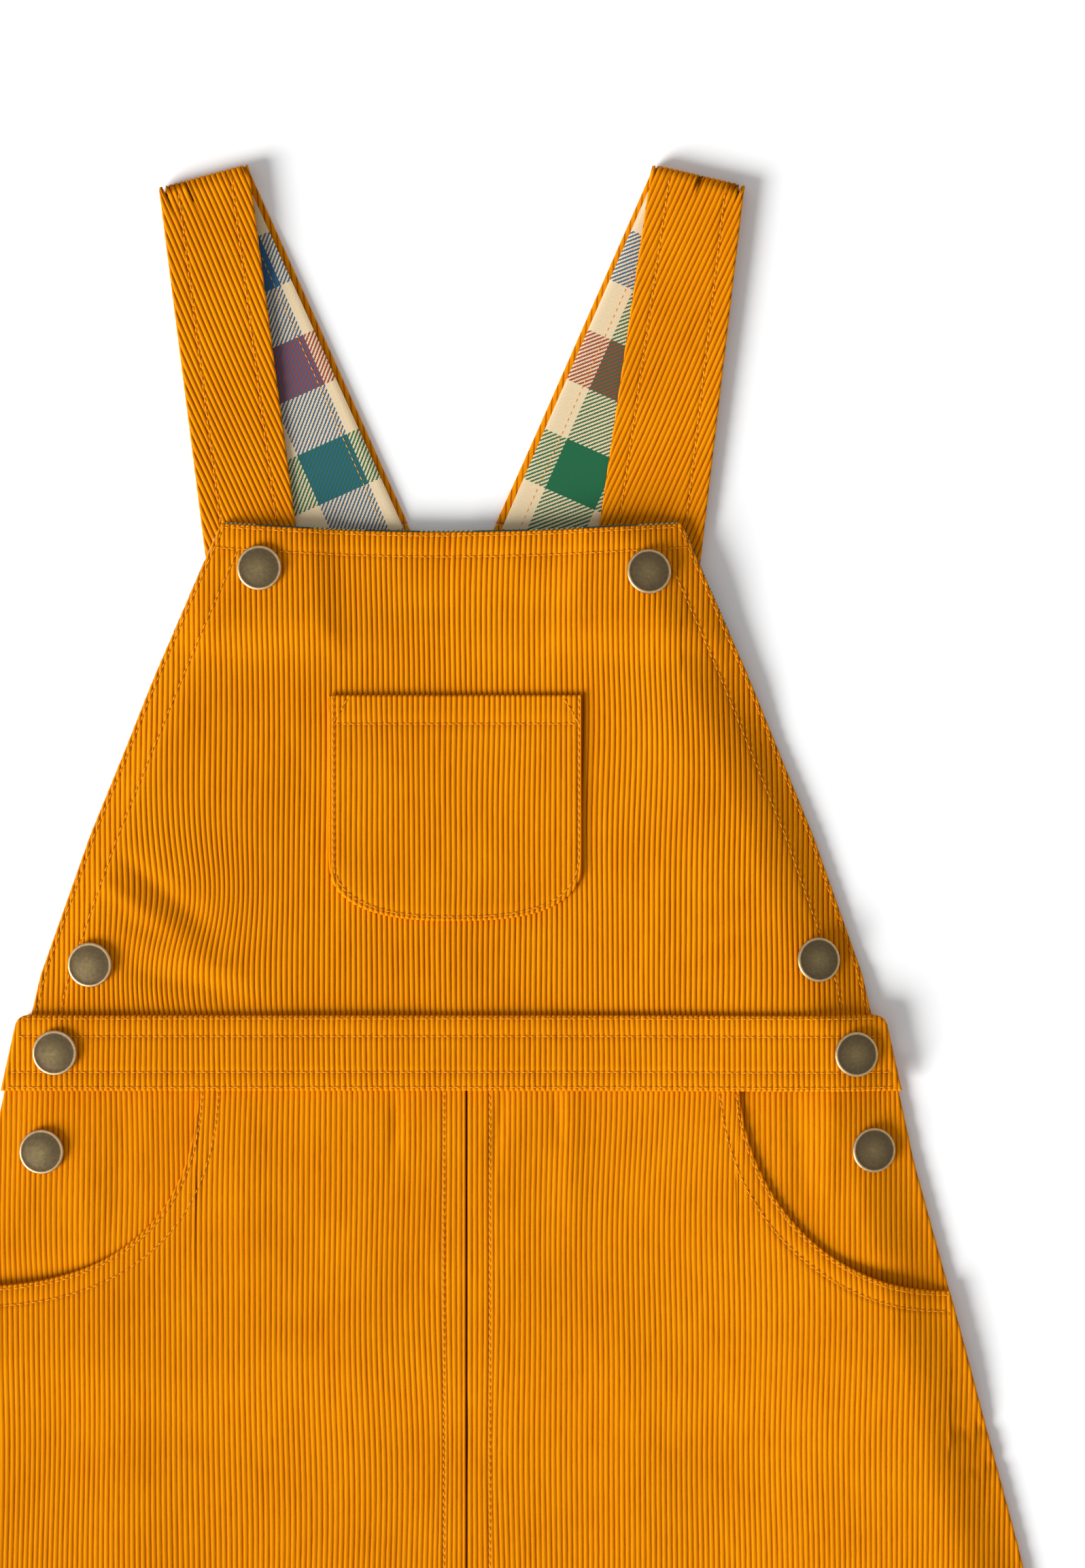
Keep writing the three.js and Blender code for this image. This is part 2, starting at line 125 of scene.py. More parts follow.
def over_strap(x, y):
    """How much the bib lifts over the strap ends, from 0 to 1."""
    found = np.zeros_like(x)
    for sign, strap in STRAPS.items():
        (fi, fiy), (fo, _) = strap["fold"]
        (ei, eiy), (eo, _) = strap["end"]
        down = (fiy - y) / (fiy - eiy)
        inside = np.minimum(sign * x - mix(fi, ei, down), mix(fo, eo, down) - sign * x)
        away = np.maximum(-inside, eiy - y) - 2
        found = np.maximum(found, 1 - ease(0, 13, away))
    return found


# Soft troughs (below zero) and ridges: where, how they run, how long and wide.
CREASES = {
    "skirt": (
        # x, y, degrees from the x axis, length, width, height
        (-19, 274, 88, 22, 2.6, -0.8),
        (16, 273, 80, 26, 2.6, -0.9),
        (36, 276, 97, 20, 2.4, -0.7),
        (40, 262, 92, 50, 5.0, 0.7),
        (111, 272, 78, 26, 2.6, -0.9),
        (119, 273, 100, 22, 2.4, -0.8),
        (-70, 250, 95, 60, 8.0, 0.6),
        (-30, 190, 86, 120, 12.0, 0.6),
        (60, 170, 94, 140, 14.0, 0.7),
        (-110, 150, 100, 130, 14.0, 0.8),
        (120, 110, 84, 120, 14.0, 0.8),
        (180, 170, 4, 26, 2.6, -0.7),
        (186, 158, 10, 22, 2.2, -0.5),
        (-160, 60, 102, 110, 13.0, 0.9),
        (20, 70, 90, 120, 16.0, 0.9),
        (165, 45, 78, 90, 12.0, 0.8),
    ),
    "bib": (
        (-102, 345, -35, 44, 3.4, 0.9),
        (-96, 352, -38, 40, 3.0, -0.9),
        (-88, 330, -20, 46, 3.6, 0.8),
        (-90, 322, -14, 40, 3.0, -0.7),
        (-60, 400, 70, 70, 9.0, 0.6),
        (80, 390, 105, 80, 9.0, 0.6),
        (10, 450, 5, 70, 6.0, -0.6),
        (92, 335, 25, 40, 4.0, -0.6),
        (70, 345, 80, 46, 5.0, 0.5),
        (0, 330, 90, 36, 8.0, 0.5),
    ),
    "facing": (
        (118, 268, 96, 40, 4.0, -0.7),
        (128, 270, 88, 36, 3.5, 0.6),
        (-112, 262, 84, 40, 4.5, -0.6),
        (-124, 246, 92, 46, 5.0, 0.5),
    ),
}


def creased(key, x, y):
    """The sum of a panel's listed troughs and ridges."""
    total = np.zeros_like(x)
    for cx, cy, turn, length, width, height in CREASES[key]:
        c, s = math.cos(math.radians(turn)), math.sin(math.radians(turn))
        along = (x - cx) * c + (y - cy) * s
        across = (y - cy) * c - (x - cx) * s
        total += height * np.exp(-((across / width) ** 2) - (along / (0.5 * length)) ** 4)
    return total


def rolling(x, y, scale, seed):
    """A slow, uneven swell of the cloth."""
    rng = np.random.default_rng(seed)
    total = np.zeros_like(x)
    for _ in range(5):
        turn, phase_x, phase_y = rng.uniform(0, math.tau, 3)
        wave = scale * rng.uniform(0.7, 1.8)
        u = x * math.cos(turn) + y * math.sin(turn)
        v = y * math.cos(turn) - x * math.sin(turn)
        total += np.sin(u / wave * math.tau + phase_x) * np.cos(v / wave * 2.1 + phase_y)
    return total / 5


def front_height(x, y):
    """Underside of the front, over the back."""
    inset = np.clip(dress_half(y) - np.abs(x), 0, None)
    height = np.where(x < 0, ROLL[-1]["height"], ROLL[1]["height"])
    reach = np.where(x < 0, ROLL[-1]["reach"], ROLL[1]["reach"])
    t = np.clip((inset - reach) / (ROLL_FADE - reach), 0, 1)
    settled = mix(height, ROLL_REST, t * t * (3 - 2 * t))
    rise = np.clip(inset / reach, 0, 1)
    drop = LAYER * (1 - ease(FACING_BOTTOM - 34, FACING_BOTTOM - 2, y))
    return 2 * LAYER - drop + settled * rise * rise * (3 - 2 * rise)


def bib_height(x, y):
    lined = ease(TOP_LINING_BOTTOM - 16, TOP_LINING_BOTTOM - 2, y)
    edge = 1 - ease(0, 13, dress_half(y) - np.abs(x))
    free = ease(BAND_TOP, 331, y) * (1 - ease(400, TOP_LINING_BOTTOM - 16, y))
    return front_height(x, y) + TOP_RISE * lined + LAYER * (over_strap(x, y) - edge * free)


def facing_height(x, y):
    bottom = np.where(x < 0, SCOOPS[-1]["bottom"], SCOOPS[1]["bottom"])
    t = np.clip((y - bottom + 4) / 18, 0, 1)
    return mix(LAYER, front_height(x, y) - LAYER, t * t * (3 - 2 * t))


def bib_top(x, y):
    return bib_height(x, y) + CORDUROY + creased("bib", x, y) + 0.35 * rolling(x, y, 70, 3)


def skirt_top(x, y):
    lift = creased("skirt", x, y) + 0.6 * rolling(x, y, 90, 5)
    lift *= ease(0, 12, SKIRT_TOP - y) * 0.8 + 0.2
    return front_height(x, y) + CORDUROY + np.maximum(lift, -0.9)


def facing_top(x, y):
    return facing_height(x, y) + CORDUROY + creased("facing", x, y)


def band_top(x, y):
    return front_height(x, y) + LAYER + BAND + 0.3 * rolling(x, y, 50, 8)


def pocket_top(x, y):
    return bib_top(x, y) + LAYER


def hem_y(x):
    return HEM_RISE * (x / HEM_HALF) ** 2


# --- outlines, as upper and lower edges over x ------------------------------------------------


def envelope(points):
    """(x, y) arrays of an edge, for interpolation over x."""
    xs, ys = np.array(points, float).T
    order = np.argsort(xs, kind="stable")
    return xs[order], ys[order]


def side_edge(table, low, high, steps=60, inset=0.0):
    """The slanted sides between two heights as one edge over x, with its top between them."""
    ys = np.linspace(low, high, steps)
    halves = half_at(table, ys) - inset
    return halves, ys


def symmetric_top(halves, ys, top):
    """An upper edge: up the left side, across top(x), down the right side."""
    inner = np.linspace(-halves[-1], halves[-1], 80)[1:-1]
    xs = np.concatenate([-halves, inner, halves[::-1]])
    heights = np.concatenate([ys, top(inner), ys[::-1]])
    return xs, heights


def scoop_curve(sign, steps=120):
    scoop = SCOOPS[sign]
    angle = np.linspace(0, math.pi / 2, steps)
    exponent = 2 / scoop["power"]
    x = scoop["side"] - (scoop["side"] - scoop["inner"]) * np.cos(angle) ** exponent
    y = SKIRT_TOP - (SKIRT_TOP - scoop["bottom"]) * np.sin(angle) ** exponent
    return x, y


# --- cloth --------------------------------------------------------------------------------------


def nearest(points, line):
    """Distance from points to a polyline, and the vector to its nearest point."""
    a, b = line[:-1], line[1:]
    d = b - a
    size = np.maximum((d**2).sum(1), 1e-12)
    best = np.full(len(points), 1e9)
    way = np.zeros_like(points)
    for start in range(0, len(points), 20000):
        p = points[start : start + 20000, None]
        t = np.clip(((p - a) * d).sum(-1) / size, 0, 1)
        gap = a + t[..., None] * d - p
        dist = np.sqrt((gap**2).sum(-1))
        k = dist.argmin(1)
        row = np.arange(len(k))
        best[start : start + 20000] = dist[row, k]
        way[start : start + 20000] = gap[row, k]
    return best, way


def mesh_object(name, vertices, faces, material, uv=None, smooth=True):
    mesh = bpy.data.meshes.new(name)
    mesh.from_pydata(vertices.tolist(), [], faces)
    if uv is not None:
        layer = mesh.uv_layers.new(name="grain")
        index = np.empty(len(mesh.loops), np.int32)
        mesh.loops.foreach_get("vertex_index", index)
        layer.data.foreach_set("uv", uv[index].astype(np.float32).ravel())
    if smooth:
        mesh.polygons.foreach_set("use_smooth", np.ones(len(mesh.polygons), bool))
    mesh.materials.append(material)
    mesh.update()
    obj = bpy.data.objects.new(name, mesh)
    bpy.context.collection.objects.link(obj)
    return obj


def grid_faces(index, flip=False):
    """Quads of a grid of vertex numbers."""
    a, b = index[:-1, :-1], index[:-1, 1:]
    c, d = index[1:, 1:], index[1:, :-1]
    quads = np.stack([a, b, c, d], -1).reshape(-1, 4)
    return (quads[:, ::-1] if flip else quads).tolist()


def wale_relief(s):
    """Height of the pile over the groove at distance s across the grain."""
    return RELIEF * np.abs(np.sin(math.pi * s / WALE)) ** 0.55


class Cloth:
    """A panel of cloth as a closed shell, on a grid whose columns follow the grain.

    upper and lower are its edges over the column coordinate; top(x, y) is the height of its
    face. turn rotates the grain from the y axis, about the origin. curve maps plan points and
    a lift to space, where a panel doesn't lie flat.
    """

    def __init__(self, name, upper, lower, top, thickness, material, **options):
        self.name, self.upper, self.lower = name, upper, lower
        self.top, self.thickness, self.material = top, thickness, material
        self.wales = options.get("wales", True)
        self.turn = math.radians(options.get("turn", 0.0))
        self.drift = options.get("drift", lambda s, y: np.zeros_like(s))
        self.rows = options.get("rows", 40)
        self.step = options.get("step", WALE / SAMPLES)
        self.stations = options.get("stations", (0, 0.08, 0.3, 0.7, 1.2, 2.4))
        self.upper_stations = options.get("upper_stations", self.stations)
        self.lower_stations = options.get("lower_stations", self.stations)
        self.seams = options.get("seams", ())
        self.curve = options.get("curve")
        self.face_down = options.get("face_down", False)
        self.origin = options.get("origin", 0.0)
        self.split = options.get("split")

    def columns(self):
        low = max(self.upper[0][0], self.lower[0][0])
        high = min(self.upper[0][-1], self.lower[0][-1])
        first = math.ceil((low + 0.05 - self.origin) / self.step)
        last = math.floor((high - 0.05 - self.origin) / self.step)
        inner = self.origin + np.arange(first, last + 1) * self.step
        return np.concatenate([[low], inner, [high]])

    def ends(self, s):
        """Where each column meets the lower and upper edges."""
        found = []
        for edge, sign in ((self.lower, -1), (self.upper, 1)):
            low = np.full_like(s, min(self.lower[1].min(), self.upper[1].min()) - 1)
            high = np.full_like(s, max(self.upper[1].max(), self.lower[1].max()) + 1)
            for _ in range(30):
                mid = (low + high) / 2
                target = np.interp(self.x_of(s, mid), *edge)
                below = mid < target
                low = np.where(below, mid, low)
                high = np.where(below, high, mid)
            found.append((low + high) / 2)
        return found

    def x_of(self, s, y):
        low, high = self.upper[0][0], self.upper[0][-1]
        fade = ease(0, 14, np.minimum(s - low, high - s))
        return np.clip(s + fade * self.drift(s, y), low, high)

    def build(self):
        s = self.columns()
        low, high = self.ends(s)
        span = np.maximum(high - low, 0.01)
        near_low = self.stretched(s, low, self.lower, self.lower_stations, span)
        near_high = self.stretched(s, high, self.upper, self.upper_stations, span)
        inner = np.linspace(0, 1, self.rows + 2)[1:-1, None]
        start, end = low + near_low[-1], high - near_high[-1]
        ys = np.concatenate([low + near_low, self.spread(start, end, inner), (high - near_high)[::-1]])
        grid_s = np.broadcast_to(s, ys.shape)
        xs = self.x_of(grid_s, ys)
        flat = np.stack([xs.ravel(), ys.ravel()], 1)
        inset, way = self.edge_distance(flat, ys.shape)
        radius = self.thickness / 2
        out = np.clip(1 - inset / radius, 0, 1)
        round_off = radius * (1 - np.sqrt(1 - out**2))
        plan = self.turned(flat)
        way = self.turned(way)
        level = self.top(plan[:, 0], plan[:, 1])
        if self.seams:
            level = level - self.pinch(plan)
        lift = -round_off
        pile = wale_relief(grid_s.ravel()) - RELIEF if self.wales else 0 * lift
        upright = np.sqrt(1 - out**2)
        face = self.to_space(plan + way * (out * pile)[:, None], level + lift + upright * pile)
        under = self.to_space(plan, level - self.thickness + round_off)
        return self.closed(face, under, ys.shape, np.stack([grid_s.ravel(), ys.ravel()], 1))

    def spread(self, start, end, share):
        """Rows between two lines, level up to the split, so that a stepped edge bends few of them."""
        if self.split is None:
            return mix(start, end, share)
        below = mix(start, np.minimum(self.split, end - 1), np.clip(share / 0.7, 0, 1))
        return below + (end - np.minimum(self.split, end - 1)) * np.clip((share - 0.7) / 0.3, 0, 1)

    def stretched(self, s, y, edge, stations, span):
        """Insets from an edge as distances along each column."""
        x = self.x_of(s, y)
        slope = (np.interp(x + 0.2, *edge) - np.interp(x - 0.2, *edge)) / 0.4
        stretch = np.minimum(np.sqrt(1 + slope**2), 8)
        wanted = np.array(stations)[:, None] * stretch
        room = np.minimum(1, 0.45 * span / np.maximum(wanted[-1], 1e-6))
        return wanted * room

    def edge_distance(self, flat, shape):
        lines = [np.stack(self.upper, 1), np.stack(self.lower, 1)]
        best = np.full(len(flat), 1e9)
        way = np.zeros_like(flat)
        for line in lines:
            rough = self.near(flat, line)
            dist, gap = nearest(flat[rough], line)
            at = np.flatnonzero(rough)
            closer = dist < best[at]
            best[at[closer]] = dist[closer]
            way[at[closer]] = gap[closer]
        for x in (self.upper[0][0], self.upper[0][-1]):
            dist = np.abs(flat[:, 0] - x)
            closer = dist < best
            best = np.where(closer, dist, best)
            way[closer] = np.stack([x - flat[closer, 0], 0 * flat[closer, 0]], 1)
        size = np.maximum(np.sqrt((way**2).sum(1)), 1e-9)
        unit = way / size[:, None]
        self.fix_boundary(unit, best, shape)
        return best, unit

    def near(self, flat, line):
        """Points that may lie within a few millimetres of an edge line."""
        target = np.interp(flat[:, 0], line[:, 0], line[:, 1])
        slope = np.abs(np.gradient(line[:, 1], line[:, 0] + 1e-9 * np.arange(len(line))))
        reach = 3 + 3 * np.interp(flat[:, 0], line[:, 0], np.minimum(slope, 40))
        return np.abs(flat[:, 1] - target) < reach

    def fix_boundary(self, unit, best, shape):
        """On the boundary itself the way out is its neighbour's."""
        grid = unit.reshape(*shape, 2)
        flat_best = best.reshape(shape)
        for row, neighbour in ((0, 2), (-1, -3)):
            bad = flat_best[row] < 1e-3
            grid[row][bad] = grid[neighbour][bad]
        for column, neighbour in ((0, 1), (-1, -2)):
            bad = flat_best[:, column] < 1e-3
            grid[bad, column] = grid[bad, neighbour]

    def turned(self, points):
        c, s = math.cos(self.turn), math.sin(self.turn)
        return points @ np.array([[c, s], [-s, c]])

    def pinch(self, plan):
        """The dip that a row of stitches pulls in the face."""
        total = np.zeros(len(plan))
        for line in self.seams:
            line = np.array(line, float)
            box_low, box_high = line.min(0) - 3, line.max(0) + 3
            rough = ((plan > box_low) & (plan < box_high)).all(1)
            dist, _ = nearest(plan[rough], line)
            dip = PINCH_DEPTH * np.exp(-((dist / PINCH_WIDTH) ** 2))
            total[rough] = np.maximum(total[rough], dip)
        return total

    def to_space(self, plan, height):
        if self.curve:
            return self.curve(plan, height)
        if self.face_down:
            height = self.thickness - height
        return np.stack([plan[:, 0], plan[:, 1], height], 1)

    def closed(self, face, under, shape, uv):
        rows, columns = shape
        index = np.arange(rows * columns).reshape(shape)
        edge = {0, 1, 2, 3, rows - 4, rows - 3, rows - 2, rows - 1}
        kept = sorted(edge | set(range(4, rows - 4, 6)))
        lower = np.full((len(kept), columns), -1)
        lower[0], lower[-1] = index[0], index[-1]
        lower[:, 0], lower[:, -1] = index[kept, 0], index[kept, -1]
        inner = index[kept][1:-1, 1:-1]
        lower[1:-1, 1:-1] = rows * columns + np.arange(inner.size).reshape(inner.shape)
        vertices = np.concatenate([face, under[inner.ravel()]])
        coords = np.concatenate([uv, uv[inner.ravel()]])
        faces = grid_faces(index) + grid_faces(lower, flip=True)
        for column, flip in ((0, False), (-1, True)):
            for a, b in zip(kept[:-1], kept[1:]):
                if b - a > 1:
                    ring = index[a : b + 1, column].tolist()
                    faces.append(ring if flip else ring[::-1])
        if self.face_down:
            faces = [f[::-1] for f in faces]
        vertices = (vertices - np.array([0, LENGTH / 2, 0])) * MM
        return mesh_object(self.name, vertices, faces, self.material, coords)

    def flat_size(self):
        """Width, length and area of the cut, in metres."""
        s = np.linspace(self.upper[0][0], self.upper[0][-1], 2000)
        gap = np.interp(s, *self.upper) - np.interp(s, *self.lower)
        width = s[-1] - s[0]
        length = self.upper[1].max() - self.lower[1].min()
        area = float(np.clip(gap, 0, None).mean() * width)
        return width * MM, length * MM, area * MM * MM


def finish_cloth(cloth, node=None):
    piece = cloth.build()
    piece.name = f"{cloth.name}_cloth"
    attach(piece, "root")
    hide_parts(node or cloth.name)
    width, length, area = cloth.flat_size()
    return piece


# --- materials ----------------------------------------------------------------------------------


class Nodes:
    """A material's node tree, with short calls for what the materials here use."""

    def __init__(self, name):
        self.material = bpy.data.materials.new(name)
        self.material.use_nodes = True
        self.tree = self.material.node_tree
        self.shader = self.tree.nodes["Principled BSDF"]

    def new(self, kind, **settings):
        node = self.tree.nodes.new(kind)
        for key, value in settings.items():
            setattr(node, key, value)
        return node

    def link(self, source, target):
        self.tree.links.new(source, target)

    def feed(self, socket, value):
        if isinstance(value, bpy.types.NodeSocket):
            self.link(value, socket)
        else:
            socket.default_value = value

    def math(self, operation, a, b=0.0, c=0.0):
        node = self.new("ShaderNodeMath", operation=operation)
        for socket, value in zip(node.inputs, (a, b, c)):
            self.feed(socket, value)
        return node.outputs[0]

    def grain(self):
        uv = self.new("ShaderNodeUVMap", uv_map="grain")
        split = self.new("ShaderNodeSeparateXYZ")
        self.link(uv.outputs[0], split.inputs[0])
        return split.outputs[0], split.outputs[1]

    def vector(self, x, y, z=0.0):
        node = self.new("ShaderNodeCombineXYZ")
        for socket, value in zip(node.inputs, (x, y, z)):
            self.feed(socket, value)
        return node.outputs[0]

    def noise(self, vector, scale, detail=2.0, roughness=0.5):
        node = self.new("ShaderNodeTexNoise")
        self.link(vector, node.inputs["Vector"])
        node.inputs["Scale"].default_value = scale
        node.inputs["Detail"].default_value = detail
        node.inputs["Roughness"].default_value = roughness
        return node.outputs[0]

    def ramp(self, factor, stops, interpolation="LINEAR"):
        node = self.new("ShaderNodeValToRGB")
        node.color_ramp.interpolation = interpolation
        elements = node.color_ramp.elements
        while len(elements) < len(stops):
            elements.new(0.5)
        for element, (place, colour) in zip(elements, stops):
            element.position = place
            element.color = (*colour, 1)
        self.link(factor, node.inputs[0])
        return node.outputs[0]

    def mix(self, factor, a, b, blend="MIX"):
        node = self.new("ShaderNodeMix", data_type="RGBA", blend_type=blend)
        self.feed(node.inputs[0], factor)
        for socket, value in ((node.inputs[6], a), (node.inputs[7], b)):
            self.feed(socket, value if isinstance(value, bpy.types.NodeSocket) else (*value, 1))
        return node.outputs[2]

    def bump(self, height, distance, strength=1.0):
        node = self.new("ShaderNodeBump")
        node.inputs["Strength"].default_value = strength
        node.inputs["Distance"].default_value = distance
        self.link(height, node.inputs["Height"])
        return node.outputs[0]


# Corduroy colours: the first is the pile's own orange. The next two are painted shade, on the slopes and in
# the bottoms of the wale grooves.
RIDGE = (0.80, 0.268, 0.0022)
SHOULDER_SHADE = (0.66, 0.19, 0.0015)
GROOVE_SHADE = (0.33, 0.062, 0.0008)
THREAD = (0.90, 0.36, 0.006)


def corduroy_material():
    """Cut pile: matt ridges, painted shade in the narrow grooves (deeper in some than others), and fine
    nap.
    """
    n = Nodes("corduroy")
    s, t = n.grain()
    along = n.vector(n.math("MULTIPLY", s, 0.9), n.math("MULTIPLY", t, 0.22))
    wander = n.math("SUBTRACT", n.noise(along, 1.0, 3), 0.5)
    phase = n.math("MULTIPLY", n.math("ADD", s, n.math("MULTIPLY", wander, 0.35)), math.pi / WALE)
    # High on the ridges and low in the grooves: it sets where painted shade darkens the grooves.
    wale_shade_mask = n.math("ABSOLUTE", n.math("SINE", phase))
    speck = n.noise(n.vector(n.math("MULTIPLY", s, 3.0), n.math("MULTIPLY", t, 1.6)), 1.0, 3, 0.7)
    uneven = n.noise(n.vector(n.math("MULTIPLY", s, 0.55), n.math("MULTIPLY", t, 0.05)), 1.0, 2)
    level = n.math("ADD", wale_shade_mask, n.math("MULTIPLY", n.math("SUBTRACT", speck, 0.5), 0.35))
    level = n.math("ADD", level, n.math("MULTIPLY", n.math("SUBTRACT", uneven, 0.5), 0.5))
    # Low levels take the painted groove shade and high levels the pile's own colour. The uneven noise makes
    # the painted shade deeper in some grooves.
    colour = n.ramp(level, [(0.0, GROOVE_SHADE), (0.42, SHOULDER_SHADE), (0.78, RIDGE)])
    cloud = n.noise(n.vector(s, t), 0.035, 3)
    shade = n.ramp(cloud, [(0.3, (0.93, 0.90, 0.88)), (0.7, (1.03, 1.04, 1.0))])
    colour = n.mix(1.0, colour, shade, "MULTIPLY")
    fibre = n.noise(n.vector(n.math("MULTIPLY", s, 5.0), n.math("MULTIPLY", t, 3.5)), 1.0, 4, 0.75)
    tint = n.ramp(fibre, [(0.25, (0.86, 0.83, 0.8)), (0.75, (1.1, 1.12, 1.2))])
    colour = n.mix(0.8, colour, tint, "MULTIPLY")
    n.link(colour, n.shader.inputs["Base Color"])
    rough = n.math("ADD", 0.82, n.math("MULTIPLY", fibre, 0.16))
    n.link(rough, n.shader.inputs["Roughness"])
    n.shader.inputs["Specular IOR Level"].default_value = 0.02
    n.link(n.bump(fibre, 0.00022, 0.7), n.shader.inputs["Normal"])
    return n.material


CREAM = (0.72, 0.57, 0.36)
BLUE = (0.03, 0.10, 0.20)
RED = (0.28, 0.045, 0.03)
GREEN = (0.012, 0.12, 0.05)
RUST = (0.45, 0.17, 0.035)
WEFT = (RUST, CREAM, GREEN, CREAM, RED, CREAM, BLUE, CREAM)
WEFT_START = 424.0
CHECK = 18.4  # one band of the check
WEAVE = 0.42  # one thread


def check_material(name, warp, warp_start):
    """A 2/2 twill: coloured and cream bands both ways, each crossing a mix of its threads."""
    n = Nodes(name)
    s, t = n.grain()
    wide = len(warp) * CHECK
    column = n.math("FRACT", n.math("DIVIDE", n.math("SUBTRACT", s, warp_start), wide))
    warp_colour = n.ramp(column, [(i / len(warp), c) for i, c in enumerate(warp)], "CONSTANT")
    row = n.math("FRACT", n.math("DIVIDE", n.math("SUBTRACT", t, WEFT_START), len(WEFT) * CHECK))
    weft_colour = n.ramp(row, [(i / len(WEFT), c) for i, c in enumerate(WEFT)], "CONSTANT")
    wobble = n.noise(n.vector(s, t), 0.8, 2)
    drift = n.math("MULTIPLY", n.math("SUBTRACT", wobble, 0.5), 0.7)
    end = n.math("FLOOR", n.math("DIVIDE", n.math("ADD", s, n.math("MULTIPLY", drift, 0.4)), WEAVE))
    pick = n.math("FLOOR", n.math("DIVIDE", t, WEAVE))
    turn = n.math("FRACT", n.math("DIVIDE", n.math("SUBTRACT", end, pick), 4))
    warp_up = n.math("LESS_THAN", turn, 0.49)
    colour = n.mix(warp_up, weft_colour, warp_colour)
    fuzz = n.noise(n.vector(n.math("MULTIPLY", s, 3.0), n.math("MULTIPLY", t, 3.0)), 1.0, 3, 0.7)
    tint = n.ramp(fuzz, [(0.25, (0.78, 0.77, 0.75)), (0.75, (1.15, 1.15, 1.15))])
    colour = n.mix(1.0, colour, tint, "MULTIPLY")
    n.link(colour, n.shader.inputs["Base Color"])
    n.link(n.math("ADD", 0.8, n.math("MULTIPLY", fuzz, 0.15)), n.shader.inputs["Roughness"])
    n.shader.inputs["Specular IOR Level"].default_value = 0.15
    n.shader.inputs["Sheen Weight"].default_value = 0.1
    height = n.math("ADD", n.math("MULTIPLY", warp_up, 0.5), fuzz)
    n.link(n.bump(height, 0.00012, 0.6), n.shader.inputs["Normal"])
    return n.material


def thread_material():
    n = Nodes("thread")
    s, t = n.grain()
    # The darker stripes along the twist are painted shade between the plies. The same pattern drives the
    # bump.
    twist = n.math("SINE", n.math("MULTIPLY", n.math("ADD", s, t), 9.0))
    twist_shade = n.math("ADD", 0.5, n.math("MULTIPLY", twist, 0.5))
    colour = n.ramp(twist_shade, [(0.0, tuple(0.72 * c for c in THREAD)), (1.0, THREAD)])
    n.link(colour, n.shader.inputs["Base Color"])
    n.shader.inputs["Roughness"].default_value = 0.7
    n.link(n.bump(twist_shade, 0.00008, 0.6), n.shader.inputs["Normal"])
    return n.material


def brass_material():
    """Antique brass: a dark brushed face, lighter in the middle, and a painted highlight round the rim."""
    n = Nodes("antique_brass")
    radius, turn = n.grain()
    # The bright stop near the outer radius is a painted highlight on the rim's crest.
    edge = n.ramp(
        n.math("DIVIDE", radius, CAP_RADIUS),
        [(0.0, (0.30, 0.225, 0.105)), (0.55, (0.19, 0.14, 0.072)), (0.86, (0.15, 0.105, 0.055)),
         (0.93, (0.80, 0.60, 0.34)), (1.0, (0.42, 0.27, 0.12))],
    )
    polar = n.vector(n.math("MULTIPLY", radius, 0.5), n.math("MULTIPLY", turn, 40.0))
    brushed = n.noise(polar, 2.0, 4, 0.7)
    coordinates = n.new("ShaderNodeTexCoord")
    mottled = n.noise(coordinates.outputs["Object"], 900.0, 4, 0.7)
    shade = n.ramp(mottled, [(0.3, (0.8, 0.8, 0.82)), (0.7, (1.15, 1.12, 1.05))])
    n.link(n.mix(1.0, edge, shade, "MULTIPLY"), n.shader.inputs["Base Color"])
    n.shader.inputs["Metallic"].default_value = 0.85
    n.link(n.math("ADD", 0.36, n.math("MULTIPLY", mottled, 0.2)), n.shader.inputs["Roughness"])
    n.link(n.bump(n.math("ADD", brushed, mottled), 0.00003, 0.5), n.shader.inputs["Normal"])
    return n.material


def floor_material():
    n = Nodes("floor")
    coordinates = n.new("ShaderNodeTexCoord")
    grain = n.noise(coordinates.outputs["Object"], 60.0, 3)
    colour = n.ramp(grain, [(0.0, (0.93, 0.93, 0.93)), (1.0, (0.95, 0.95, 0.95))])
    n.link(colour, n.shader.inputs["Base Color"])
    n.shader.inputs["Roughness"].default_value = 0.9
    n.shader.inputs["Specular IOR Level"].default_value = 0.1
    return n.material


# The UV map is in millimetres: across and along the grain on cloth, and radius and turn on caps.
CORDUROY_CLOTH = corduroy_material()
THREAD_CLOTH = thread_material()
BRASS = brass_material()
LINING_CLOTH = {
    -1: check_material("check_left", (BLUE, CREAM), 155.0),
    1: check_material("check_right", (CREAM, GREEN), -187.8),
}


# --- seams, as lines in plan --------------------------------------------------------------------


def level_line(y, half):
    return [(-half, y), (half, y)]


def bib_side_lines(inset_side, inset_top):
    """Up each slanted side, to just under the top."""
    ys = np.linspace(BAND_TOP - 2, BIB_TOP - inset_top, 30)
    halves = half_at(BIB_SIDE, ys) - inset_side * BIB_SIDE_SLANT
    left = [(-h, y) for h, y in zip(halves, ys)]
    right = [(h, y) for h, y in zip(halves[::-1], ys[::-1])]
    return left, right


def bib_top_line(inset):
    half = half_at(BIB_SIDE, BIB_TOP - inset) - 1.5
    xs = np.linspace(-half, half, 40)
    return [(x, BIB_TOP - inset - BIB_SAG * (1 - (x / BIB_TOP_HALF) ** 2)) for x in xs]


def pocket_lower(x):
    share = np.clip(np.abs(x - POCKET["centre"]) / POCKET["half"], 0, 1)
    drop = (1 - share ** POCKET["power"]) ** (1 / POCKET["power"])
    return POCKET["corner"] - (POCKET["corner"] - POCKET["bottom"]) * drop


